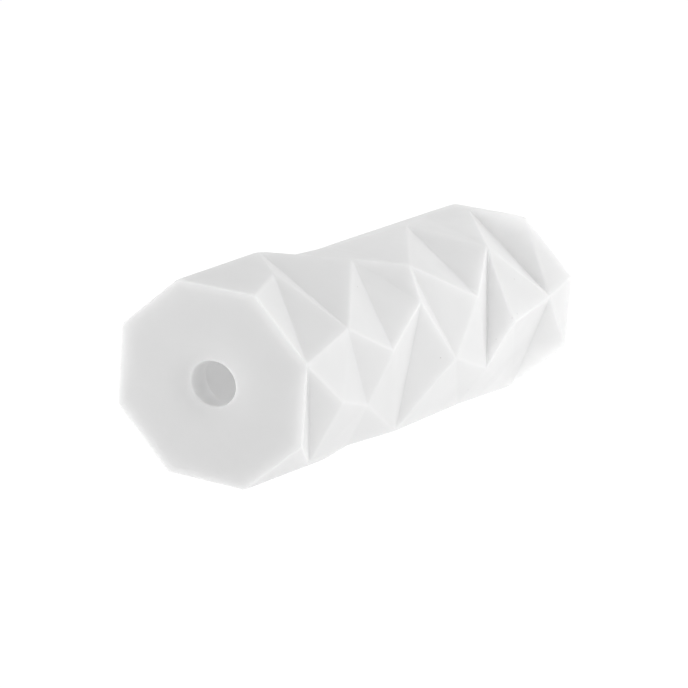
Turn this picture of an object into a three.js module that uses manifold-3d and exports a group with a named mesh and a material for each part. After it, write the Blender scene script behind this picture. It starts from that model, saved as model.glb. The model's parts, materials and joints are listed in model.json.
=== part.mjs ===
// A soft moulded sleeve, lying on its side as it rests on a table.
// It is a column with octagonal ends and triangular facets, and a round mouth
// opens into a blind cavity. Millimetres, +Z up, length along Y, mouth towards -Y.
import * as THREE from 'three';
import { mergeVertices } from 'three/addons/utils/BufferGeometryUtils.js';
import Module from 'manifold-3d';

const wasm = await Module();
wasm.setup();

// Driving dimensions
const bodyLength = 142.5;
const endRadius = 29; // centre to corner of an octagonal end, as moulded
const spread = 1.058; // lying down, the soft section widens by this much
const droop = 1 / spread; // and is lower by as much, so its area stays the same
const firstCorner = -67.5; // the octagons lie on a flat side

const mouthRadius = 6.2;
const mouthRounding = 1.2;
const throatLength = 7.5;
const cavityRadius = 8.5;
const throatStep = 1.5; // length over which the throat opens into the cavity
const cavityDepth = 118; // mouth face to the bottom of the cavity
const roundSegments = 48;

// Facet corners of one half of the body, in rows from the mouth and from the
// underside up: distance from the mouth face, angle up from +X, distance from the axis.
const cornerRows = {
  a: [[19, -51, 28.6], [16, -4, 28.3], [25, 34, 28], [23, 85, 27.4], [38, 112, 30.5]],
  b: [[40, -53, 27.6], [34, -16, 26.2], [43, 14, 27.4], [56, 78, 27], [49, 105, 27.4]],
  c: [[60, -48, 29], [76, -4, 27.3], [65, 36, 26.7], [69, 58, 28.9], [62, 102, 27.3]],
  d: [[100, -54, 28], [99, -22, 26.5], [90, 28, 28.4], [104, 101, 27.3]],
  e: [[106, 7, 28.6], [112, 56, 27.7], [123, 110, 27.7]],
  f: [[127, 15, 29.1], [139, 100, 27.1]],
};
// The other half is the same corners turned half a turn about the axis,
// except that this one sits closer to the axis there.
const closerCorners = { c1: 27.3 };

// The facets of one half. m and t are the mouth's and the tail's octagons,
// and * marks a corner of the turned half.
const facets = [
  'm0 m1 a1', 'm1 m2 a1', 'm2 a1 a2', 'm2 a2 a3', 'm2 m3 a4', 'm2 a3 a4', 'm3 m0* a4', 'm0* a4 a5',
  'a1 a2 b2', 'a1 b1 b2', 'a2 a3 b2', 'a3 b2 b3', 'a3 b3 b4', 'a3 a4 a5', 'a3 a5 b4', 'a5 b4 b5',
  'b1 b2 c1', 'b2 b3 c1', 'b3 c1 c3', 'b3 b4 c3', 'b4 c3 c4', 'b4 c4 c5', 'b4 b5 c5',
  'c1 c2 c3', 'c1 c2 d1', 'c2 d1 d2', 'c2 d2 d3', 'c2 c3 c4', 'c2 c4 d3', 'c4 d3 d4', 'c4 c5 d4',
  'd2 d3 e2', 'd2 e1 e2', 'd3 d4 e2', 'd4 e2 e3', 'e1 e2 f1', 'e2 f1 f2', 'e2 e3 f2',
  'd1 d2 t0', 'd2 e1 t0', 'e1 f1 t0', 'f1 t0 t1', 'f1 t1 t2', 'f1 t2 t3', 'f1 f2 t3',
  'f2 t3 t0*', 'e3 f2 t0*',
  'm0* a5 a1*', 'a5 a1* b1*', 'a5 b5 b1*', 'b5 c5 b1*', 'c5 b1* c1*', 'c5 d4 c1*', 'd4 c1* d1*',
  'd4 e3 d1*', 'e3 d1* t0*',
];

// Heights and lengths that follow from them
const flatHeight = endRadius * droop * Math.sin(THREE.MathUtils.degToRad(-firstCorner));
const mouthY = -bodyLength / 2;
const axisHeight = flatHeight;

// A point on the sagging body. Where the body rests, the table presses it flat.
function bodyPoint(fromMouth, angle, radius) {
  const turn = THREE.MathUtils.degToRad(angle);
  const height = Math.max(radius * droop * Math.sin(turn), -flatHeight);
  return new THREE.Vector3(radius * spread * Math.cos(turn), mouthY + fromMouth, axisHeight + height);
}

function placeCorners() {
  const corners = new Map();
  const addPair = (name, fromMouth, angle, radius) => {
    corners.set(name, bodyPoint(fromMouth, angle, radius));
    corners.set(`${name}*`, bodyPoint(fromMouth, angle + 180, closerCorners[name] ?? radius));
  };
  for (let k = 0; k < 4; k++) {
    addPair(`m${k}`, 0, firstCorner + 45 * k, endRadius);
    addPair(`t${k}`, bodyLength, firstCorner + 45 * k, endRadius);
  }
  for (const [row, places] of Object.entries(cornerRows)) {
    places.forEach(([fromMouth, angle, radius], i) => addPair(row + (i + 1), fromMouth, angle, radius));
  }
  return corners;
}

const turned = (name) => (name.endsWith('*') ? name.slice(0, -1) : `${name}*`);

// The triangle's corners in the order that makes it face away from the given point.
function facingAwayFrom(inside, triangle, corners) {
  const [p, q, r] = triangle.map((name) => corners.get(name));
  const normal = new THREE.Vector3().subVectors(q, p).cross(new THREE.Vector3().subVectors(r, p));
  const outward = new THREE.Vector3().subVectors(p, inside);
  return normal.dot(outward) > 0 ? triangle : [triangle[0], triangle[2], triangle[1]];
}

function facetedColumn() {
  const corners = placeCorners();
  const centre = new THREE.Vector3(0, 0, axisHeight);
  const triangles = [];
  for (const facet of facets) {
    const names = facet.split(' ');
    for (const triangle of [names, names.map(turned)]) {
      const middleY = triangle.reduce((sum, name) => sum + corners.get(name).y, 0) / 3;
      triangles.push(facingAwayFrom(new THREE.Vector3(0, middleY, axisHeight), triangle, corners));
    }
  }
  for (const end of ['m', 't']) {
    const ring = ['0', '1', '2', '3', '0*', '1*', '2*', '3*'].map((k) => end + k);
    for (let k = 1; k < ring.length - 1; k++) {
      triangles.push(facingAwayFrom(centre, [ring[0], ring[k], ring[k + 1]], corners));
    }
  }
  const positions = triangles.flat().flatMap((name) => corners.get(name).toArray());
  const geometry = new THREE.BufferGeometry();
  geometry.setAttribute('position', new THREE.Float32BufferAttribute(positions, 3));
  return geometry;
}

// The hollow: a rounded mouth, a straight throat, then a wider cavity with a domed bottom.
function hollow() {
  const profile = new THREE.Path();
  const past = 1; // the cutter starts this far outside the mouth face
  const wallEnd = cavityDepth - cavityRadius;
  profile.moveTo(0, -past);
  profile.lineTo(mouthRadius + mouthRounding, -past);
  profile.lineTo(mouthRadius + mouthRounding, 0);
  profile.absarc(mouthRadius + mouthRounding, mouthRounding, mouthRounding, -Math.PI / 2, -Math.PI, true);
  profile.lineTo(mouthRadius, throatLength);
  profile.lineTo(cavityRadius, throatLength + throatStep);
  profile.lineTo(cavityRadius, wallEnd);
  profile.absarc(0, wallEnd, cavityRadius, 0, Math.PI / 2, false);
  const geometry = new THREE.LatheGeometry(profile.getPoints(8), roundSegments);
  return geometry.scale(spread, 1, droop).translate(0, mouthY, axisHeight);
}

function toSolid(geometry) {
  const bare = geometry.clone();
  for (const name of ['normal', 'uv']) bare.deleteAttribute(name);
  const merged = mergeVertices(bare, 1e-4);
  const index = merged.index.array;
  const triVerts = [];
  for (let i = 0; i < index.length; i += 3) {
    const [a, b, c] = index.slice(i, i + 3);
    if (a !== b && b !== c && c !== a) triVerts.push(a, b, c); // the lathe's poles give empty triangles
  }
  const vertProperties = new Float32Array(merged.attributes.position.array);
  return new wasm.Manifold(new wasm.Mesh({ numProp: 3, vertProperties, triVerts: new Uint32Array(triVerts) }));
}

function toGeometry(solid) {
  const { vertProperties, triVerts } = solid.getMesh();
  const geometry = new THREE.BufferGeometry();
  geometry.setAttribute('position', new THREE.BufferAttribute(vertProperties, 3));
  geometry.setIndex(new THREE.BufferAttribute(triVerts, 1));
  return geometry;
}

const elastomer = new THREE.MeshStandardMaterial({ color: 0xe9e9e7, roughness: 0.6, metalness: 0 });
const sleeve = new THREE.Mesh(toGeometry(toSolid(facetedColumn()).subtract(toSolid(hollow()))), elastomer);
sleeve.name = 'faceted_sleeve';

const part = new THREE.Group();
part.add(sleeve);
export default part;
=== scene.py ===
import json
import math

import bmesh
import bpy
import numpy as np
from mathutils import Euler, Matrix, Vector


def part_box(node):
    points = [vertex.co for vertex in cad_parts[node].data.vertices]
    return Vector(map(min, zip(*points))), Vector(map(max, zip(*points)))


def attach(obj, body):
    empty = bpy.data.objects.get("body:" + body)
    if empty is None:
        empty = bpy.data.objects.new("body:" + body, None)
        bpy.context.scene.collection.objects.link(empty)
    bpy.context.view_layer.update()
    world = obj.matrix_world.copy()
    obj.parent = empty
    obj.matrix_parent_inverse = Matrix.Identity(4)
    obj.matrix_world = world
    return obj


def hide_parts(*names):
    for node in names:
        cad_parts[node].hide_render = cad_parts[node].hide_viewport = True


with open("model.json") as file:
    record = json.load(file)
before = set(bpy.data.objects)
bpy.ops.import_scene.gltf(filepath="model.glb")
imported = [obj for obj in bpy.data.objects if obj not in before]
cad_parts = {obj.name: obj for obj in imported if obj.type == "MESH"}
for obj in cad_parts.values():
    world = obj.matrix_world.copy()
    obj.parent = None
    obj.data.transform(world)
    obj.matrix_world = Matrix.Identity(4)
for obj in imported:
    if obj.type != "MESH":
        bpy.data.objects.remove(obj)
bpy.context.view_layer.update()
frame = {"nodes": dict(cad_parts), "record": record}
print("frame loaded")

scene = bpy.context.scene
scene.view_settings.view_transform = "Standard"

# The camera stands in front of the mouth and to its right, a little above the sleeve.
view = {
    "target": (0.0057, -0.0160, 0.0271),
    "distance": 0.80,
    "azimuth": 30.6,  # degrees round from the front, towards +X
    "elevation": 14.0,
    "roll": 3.8,
    "lens": 157.0,
    "sensor": 36.0,
}


def placeCamera():
    turn = math.radians(view["azimuth"])
    lift = math.radians(view["elevation"])
    back = Vector((math.sin(turn) * math.cos(lift), -math.cos(turn) * math.cos(lift), math.sin(lift)))
    lens = bpy.data.cameras.new("camera")
    lens.lens = view["lens"]
    lens.sensor_width = view["sensor"]
    camera = bpy.data.objects.new("camera", lens)
    camera.location = Vector(view["target"]) + back * view["distance"]
    aim = (-back).to_track_quat("-Z", "Y")
    camera.rotation_euler = (aim @ Euler((0, 0, math.radians(view["roll"]))).to_quaternion()).to_euler()
    scene.collection.objects.link(camera)
    scene.camera = camera


placeCamera()
print("camera placed")


# A wire is a node's output. Arithmetic on wires adds Math nodes, and node() adds any other kind.
class Wire:
    def __init__(self, tree, socket=None):
        self.tree = tree
        self.socket = socket

    def node(self, kind, settings=None, values=None, output=0):
        made = self.tree.nodes.new(kind)
        for name, value in (settings or {}).items():
            setattr(made, name, value)
        for name, value in (values or {}).items():
            if isinstance(value, Wire):
                self.tree.links.new(value.socket, made.inputs[name])
            else:
                made.inputs[name].default_value = value
        return Wire(self.tree, made.outputs[output] if made.outputs else None)

    def math(self, operation, first, second):
        return self.node("ShaderNodeMath", {"operation": operation}, {0: first, 1: second})

    def __add__(self, other):
        return self.math("ADD", self, other)

    def __radd__(self, other):
        return self.math("ADD", other, self)

    def __sub__(self, other):
        return self.math("SUBTRACT", self, other)

    def __rsub__(self, other):
        return self.math("SUBTRACT", other, self)

    def __mul__(self, other):
        return self.math("MULTIPLY", self, other)

    def __rmul__(self, other):
        return self.math("MULTIPLY", other, self)

    # 0 below low, 1 above high and even between them
    def between(self, low, high):
        values = {"Value": self, "From Min": low, "From Max": high}
        return self.node("ShaderNodeMapRange", {"clamp": True}, values)

    def mixColour(self, first, second):
        settings = {"data_type": "RGBA", "blend_type": "MIX"}
        return self.node("ShaderNodeMix", settings, {0: self, 6: first, 7: second}, output=2)


def newMaterial(name):
    material = bpy.data.materials.new(name)
    material.use_nodes = True
    material.node_tree.nodes.clear()
    return material, Wire(material.node_tree)


# Milky, nearly white gel: light goes a few millimetres in and comes out again. Lengths are in metres
# and scales are in noise cells per metre.
gel = {
    # The gel's own milky colour, painted darker at the mouth end and paler at the closed end: painted shade
    # and light along the body.
    "shadedMouthColour": (0.735, 0.735, 0.735, 1),
    "litClosedColour": (0.82, 0.82, 0.82, 1),  # painted light: paler towards the closed end, where more light falls from behind
    "paleFrom": -0.07,  # the colour changes between these two places along the body
    "paleTo": 0.07,
    "cloudColour": (0.71, 0.71, 0.71, 1),
    "cloudStrength": 0.35,
    "cloudScale": 55,
    "cloudDetail": 3,
    "cloudStart": 0.4,  # noise below this is clear gel
    "cloudFull": 0.7,
    "speckColour": (0.35, 0.34, 0.33, 1),
    "speckStrength": 0.6,
    "speckScale": 380,
    "speckShare": 0.05,  # part of the cells that hold a speck
    "speckCore": 0.05,  # a speck is full inside this distance from its cell's centre, in cells
    "speckEdge": 0.10,  # and gone outside this one
    "roughness": 0.52,
    "roughnessChange": 0.16,  # from the clearest gel to the cloudiest
    "refraction": 1.42,
    "shine": 0.2,
    "grainScale": 2600,
    "grainDetail": 1,
    "grainBump": 0.00001,
    "rippleScale": 260,
    "rippleDetail": 2,
    "rippleBump": 0.00006,
    "scatterDepth": 0.005,
    "paintedThroughGlow": (0.155, 0.155, 0.155, 1),  # painted glow: emission standing in for light that reaches the cavity through the wall
}


def gelNoise(wire, place, name):
    values = {"Vector": place, "Scale": gel[name + "Scale"], "Detail": gel[name + "Detail"]}
    return wire.node("ShaderNodeTexNoise", None, values)


# The colour runs from the mouth to the closed end, painted darker at the mouth and paler at the closed end
# as painted shade and light, with clouds over it and specks over those.
def gelColour(wire, place, cloud):
    along = wire.node("ShaderNodeSeparateXYZ", None, {0: place}, output=1)
    # painted shade at the mouth fading to painted light at the closed end
    clear = along.between(gel["paleFrom"], gel["paleTo"]).mixColour(gel["shadedMouthColour"], gel["litClosedColour"])
    cloudy = cloud.between(gel["cloudStart"], gel["cloudFull"]) * gel["cloudStrength"]
    body = cloudy.mixColour(clear, gel["cloudColour"])
    cells = {"Vector": place, "Scale": gel["speckScale"]}
    fromCentre = wire.node("ShaderNodeTexVoronoi", None, cells)
    cellColour = wire.node("ShaderNodeTexVoronoi", None, cells, output=1)
    pick = wire.node("ShaderNodeSeparateColor", None, {0: cellColour})
    chosen = pick.between(1 - gel["speckShare"], 1)
    inSpeck = (1 - fromCentre.between(gel["speckCore"], gel["speckEdge"])) * chosen
    return (inSpeck * gel["speckStrength"]).mixColour(body, gel["speckColour"])


def makeGel():
    material, wire = newMaterial("milky_elastomer")
    place = wire.node("ShaderNodeTexCoord", output=3)
    cloud = gelNoise(wire, place, "cloud")
    inside = wire.node("ShaderNodeAttribute", {"attribute_name": "inside"}, output=2)
    ripple = {"Height": gelNoise(wire, place, "ripple"), "Distance": gel["rippleBump"], "Strength": 1.0}
    soft = wire.node("ShaderNodeBump", None, ripple)
    grain = {"Height": gelNoise(wire, place, "grain"), "Distance": gel["grainBump"], "Normal": soft}
    surface = wire.node(
        "ShaderNodeBsdfPrincipled",
        {"subsurface_method": "RANDOM_WALK"},
        {
            "Base Color": gelColour(wire, place, cloud),
            "Roughness": gel["roughness"] + (cloud - 0.5) * gel["roughnessChange"],
            "Normal": wire.node("ShaderNodeBump", None, grain),
            "IOR": gel["refraction"],
            "Specular IOR Level": gel["shine"],
            "Subsurface Weight": 1.0,
            "Subsurface Radius": (1.0, 1.0, 1.0),
            "Subsurface Scale": gel["scatterDepth"],
            # painted glow on the throat and cavity, standing in for light through the wall
            "Emission Color": inside.mixColour((0, 0, 0, 1), gel["paintedThroughGlow"]),
            "Emission Strength": 1.0,
        },
    )
    wire.node("ShaderNodeOutputMaterial", None, {"Surface": surface})
    return material


# The side keeps the CAD body's own facets, with their edges rounded. The near face, lip, throat and
# cavity are one outline carried round the axis, and it meets the side at the octagon's edge.
sleeve = {
    "spread": 1.058,  # the sleeve lies on its side, so its round parts are wider than tall
    "edgeWidth": 0.0005,  # how far the rounding of an edge reaches into each facet
    "edgeSteps": 4,
    "flatFold": 0.02,  # a fold of less than this, in radians, is not rounded
    "flatFrom": 0.0190,  # the near face is flat outside this distance from the axis
    "dishDepth": 0.0012,
    "dishWidth": 0.0036,
    "dishPower": 1.5,  # a higher power makes the dish's floor flatter
    "mouthRadius": 0.0063,
    "mouthOval": 0.0001,
    "lipRounding": 0.0005,
    "throatLength": 0.0075,
    "throatStep": 0.0040,  # length over which the throat opens into the cavity
    "cavityRadius": 0.0085,
    "cavityDepth": 0.118,
    "throughDepth": 0.008,  # how far in the painted glow for light through the wall takes over
    "columns": 128,  # a multiple of the octagon's 8 corners
    "faceRows": 22,
    "faceCrowding": 1.4,  # above 1, the rows of the face stand closer near the lip
    "throatRows": 6,
    "cavityRows": 24,
    "arcStep": 15,  # degrees between the rows of the lip and of the dome
}
sameSpot = 1e-4  # lengthwise places nearer each other than this are one place
sideShare = 0.6  # the side is further out than this part of the greatest distance from the axis
cornerPlaces = 5  # decimals of a metre that tell two corners apart


def trianglesOf(node):
    mesh = node.data
    mesh.calc_loop_triangles()
    places = np.empty(len(mesh.vertices) * 3, np.float32)
    mesh.vertices.foreach_get("co", places)
    index = np.empty(len(mesh.loop_triangles) * 3, np.int32)
    mesh.loop_triangles.foreach_get("vertices", index)
    return places.reshape(-1, 3)[index].reshape(-1, 3, 3).astype(float)


# The side facets are the triangles whose corners are all far from the axis and not all on one end.
# Gives the corners, each once, and each facet's three places among them.
def sideFacets(node, axisHeight):
    triangles = trianglesOf(node)
    fromAxis = np.hypot(triangles[:, :, 0], triangles[:, :, 2] - axisHeight)
    farOut = fromAxis.min(axis=1) > fromAxis.max() * sideShare
    lengthwise = np.ptp(triangles[:, :, 1], axis=1)
    side = triangles[farOut & (lengthwise > sameSpot)]
    rounded = np.round(side.reshape(-1, 3), cornerPlaces)
    corners, index = np.unique(rounded, axis=0, return_inverse=True)
    return corners, index.reshape(-1, 3)


# The corners on one end, in order round the axis.
def endRing(corners, endY, axisHeight):
    ring = np.flatnonzero(abs(corners[:, 1] - endY) < sameSpot)
    turn = np.arctan2(corners[ring, 2] - axisHeight, corners[ring, 0])
    return ring[np.argsort(turn)]


def outlineOf(fromAxis, along):
    return np.stack(np.broadcast_arrays(fromAxis, along), axis=-1)


# The outline from the flat part of the near face to the cavity's floor, as pairs: the distance
# from the axis and the place along it. The face sinks by the dish's depth at the lip, and by that
# times e to the minus (distance from the lip over the dish's width) to a power further out.
# The lip is a quarter round and the cavity ends in a dome.
def hollowOutline(mouthY):
    mouth, lip, cavity = sleeve["mouthRadius"], sleeve["lipRounding"], sleeve["cavityRadius"]
    lipEdge = mouth + lip
    lipY = mouthY + sleeve["dishDepth"] + lip
    throatY = mouthY + sleeve["throatLength"]
    stepY = throatY + sleeve["throatStep"]
    domeY = mouthY + sleeve["cavityDepth"] - cavity

    outward = np.linspace(1, 0, sleeve["faceRows"]) ** sleeve["faceCrowding"]
    reach = lipEdge + (sleeve["flatFrom"] - lipEdge) * outward
    sink = sleeve["dishDepth"] * np.exp(-((reach - lipEdge) / sleeve["dishWidth"]) ** sleeve["dishPower"])
    sink[0] = 0
    lipTurn = np.radians(np.arange(90 - sleeve["arcStep"], -1, -sleeve["arcStep"]))
    opening = np.array([0.1, 0.5, 0.9])  # a little short of both ends, so the step's edges are eased
    domeTurn = np.radians(np.arange(sleeve["arcStep"], 90, sleeve["arcStep"]))
    return np.concatenate([
        outlineOf(reach, mouthY + sink),
        outlineOf(mouth + lip * (1 - np.cos(lipTurn)), lipY - lip * np.sin(lipTurn)),
        outlineOf(mouth, np.linspace(lipY, throatY, sleeve["throatRows"])[1:]),
        outlineOf(mouth + (cavity - mouth) * opening, throatY + (stepY - throatY) * opening),
        outlineOf(cavity, np.linspace(stepY, domeY, sleeve["cavityRows"])),
        outlineOf(cavity * np.cos(domeTurn), domeY + cavity * np.sin(domeTurn)),
    ])


# Each point is at the outline's distance times the cosine and the sine of its turn, made wider
# across and lower by the spread. The hollow is slightly oval: all but the first row have a
# twice-repeating wave added to the distance.
def hollowGrid(mouthY, axisHeight, firstTurn):
    outline = hollowOutline(mouthY)
    turn = firstTurn + np.linspace(0, 2 * math.pi, sleeve["columns"], endpoint=False)
    reach = outline[:, :1] + sleeve["mouthOval"] * np.cos(2 * turn)
    reach[0] = outline[0, 0]
    across = reach * sleeve["spread"] * np.cos(turn)
    upward = axisHeight + reach / sleeve["spread"] * np.sin(turn)
    along = np.broadcast_to(outline[:, 1:], reach.shape)
    return np.stack([across, along, upward], axis=-1)


# Four-sided faces between the rows of the grid, and a fan that closes its last row. The grid's
# points are numbered from start and the fan's centre is the point after them.
def gridFaces(rows, columns, start):
    row, column = np.meshgrid(np.arange(rows - 1), np.arange(columns), indexing="ij")
    following = (column + 1) % columns
    here = start + row * columns
    onward = here + columns
    quads = np.stack([here + column, here + following, onward + following, onward + column], axis=-1)
    around = np.arange(columns)
    last = start + (rows - 1) * columns
    centre = np.full(columns, last + columns)
    fan = np.stack([last + around, last + (around + 1) % columns, centre], axis=-1)
    return quads.reshape(-1, 4).tolist() + fan.tolist()


# One flat face on each side of the octagon, from that side in to the grid's first row.
def sectorFaces(ring, columns, start):
    share = columns // len(ring)
    sectors = []
    for k in range(len(ring)):
        inner = [start + (k * share + step) % columns for step in range(share, -1, -1)]
        sectors.append([int(ring[k]), int(ring[(k + 1) % len(ring)])] + inner)
    return sectors


# Faces outward, and the folded edges between side corners marked for rounding.
def finishMesh(mesh, cornerCount):
    shaping = bmesh.new()
    shaping.from_mesh(mesh)
    bmesh.ops.recalc_face_normals(shaping, faces=shaping.faces)
    weight = shaping.edges.layers.float.new("bevel_weight_edge")
    for edge in shaping.edges:
        onSide = max(vertex.index for vertex in edge.verts) < cornerCount
        if onSide and edge.calc_face_angle(0) > sleeve["flatFold"]:
            edge[weight] = 1.0
    shaping.to_mesh(mesh)
    shaping.free()
    mesh.polygons.foreach_set("use_smooth", np.ones(len(mesh.polygons), bool))


def roundEdges(skin):
    rounding = skin.modifiers.new("rounded_edges", "BEVEL")
    rounding.limit_method = "WEIGHT"
    rounding.width = sleeve["edgeWidth"]
    rounding.segments = sleeve["edgeSteps"]
    rounding.loop_slide = False
    rounding.harden_normals = True


def makeSleeve():
    low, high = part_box("faceted_sleeve")
    mounts = {mount["name"]: mount for mount in frame["record"]["mounts"]}
    axisHeight = mounts["closed_end_face"]["pos_m"][2]
    corners, facets = sideFacets(frame["nodes"]["faceted_sleeve"], axisHeight)
    nearRing = endRing(corners, low.y, axisHeight)
    farRing = endRing(corners, high.y, axisHeight)
    firstCorner = corners[nearRing[0]]
    rise = (firstCorner[2] - axisHeight) * sleeve["spread"]
    grid = hollowGrid(low.y, axisHeight, math.atan2(rise, firstCorner[0] / sleeve["spread"]))
    rows, columns = grid.shape[:2]
    start = len(corners)
    cavityEnd = [[0, low.y + sleeve["cavityDepth"], axisHeight]]
    points = np.concatenate([corners, grid.reshape(-1, 3), cavityEnd])
    faces = facets.tolist() + gridFaces(rows, columns, start)
    faces += sectorFaces(nearRing, columns, start) + [farRing[::-1].tolist()]
    mesh = bpy.data.meshes.new("sleeve_skin")
    mesh.from_pydata(points.tolist(), [], faces)
    finishMesh(mesh, start)

    # 0 outside the lip, rising to 1 where the painted glow for light through the wall takes over
    inside = np.zeros(len(points), np.float32)
    depth = (points[start:, 1] - low.y - sleeve["dishDepth"]) / sleeve["throughDepth"]
    inside[start:] = np.clip(depth, 0, 1)
    mesh.attributes.new("inside", "FLOAT", "POINT").data.foreach_set("value", inside)
    mesh.materials.append(makeGel())
    mesh.update()
    skin = bpy.data.objects.new("sleeve_skin", mesh)
    scene.collection.objects.link(skin)
    roundEdges(skin)
    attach(skin, "root")
    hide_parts("faceted_sleeve")
    print("sleeve made with", len(facets), "side facets and", len(corners), "corners")


makeSleeve()


# A pale table that glows a little, as a light table does, in a bright plain room.
studio = {
    "floorSize": 12.0,
    "floorColour": (0.12, 0.12, 0.12, 1),
    "floorRoughness": 0.8,
    "floorGlow": 0.95,
    "roomStrength": 0.48,
    "lampSize": 0.3,
    "lampTarget": (0, 0, 0.03),
    "lamps": {  # place and power
        "far_right": ((0.30, 0.45, 0.16), 0.40),
        "behind": ((0.05, 0.60, 0.15), 0.40),
        "left": ((-0.55, 0.20, 0.30), 0.65),
        "above": ((0.0, 0.10, 0.60), 0.45),
        "side_right": ((0.35, -0.06, 0.25), 0.42),
        "front_above": ((0.30, -0.45, 0.50), 0.45),
        "front_left": ((-0.50, -0.35, 0.15), 1.0),
    },
}


def makeFloor():
    material, wire = newMaterial("pale_table")
    surface = wire.node(
        "ShaderNodeBsdfPrincipled",
        None,
        {
            "Base Color": studio["floorColour"],
            "Roughness": studio["floorRoughness"],
            "Specular IOR Level": 0.0,
            "Emission Color": (1, 1, 1, 1),
            "Emission Strength": studio["floorGlow"],
        },
    )
    wire.node("ShaderNodeOutputMaterial", None, {"Surface": surface})
    half = studio["floorSize"] / 2
    corners = [(-half, -half, 0), (half, -half, 0), (half, half, 0), (-half, half, 0)]
    mesh = bpy.data.meshes.new("floor")
    mesh.from_pydata(corners, [], [(0, 1, 2, 3)])
    mesh.materials.append(material)
    floor = bpy.data.objects.new("floor", mesh)
    scene.collection.objects.link(floor)


def makeLamp(name, place, power):
    lamp = bpy.data.lights.new(name, "AREA")
    lamp.shape = "DISK"
    lamp.size = studio["lampSize"]
    lamp.energy = power
    holder = bpy.data.objects.new(name, lamp)
    holder.visible_camera = False
    holder.location = place
    aim = Vector(studio["lampTarget"]) - Vector(place)
    holder.rotation_euler = aim.to_track_quat("-Z", "Y").to_euler()
    scene.collection.objects.link(holder)


def makeRoom():
    world = bpy.data.worlds.new("room")
    world.use_nodes = True
    light = world.node_tree.nodes["Background"].inputs
    light["Color"].default_value = (1, 1, 1, 1)
    light["Strength"].default_value = studio["roomStrength"]
    scene.world = world


makeFloor()
for name, (place, power) in studio["lamps"].items():
    makeLamp(name, place, power)
makeRoom()
print("studio lit")
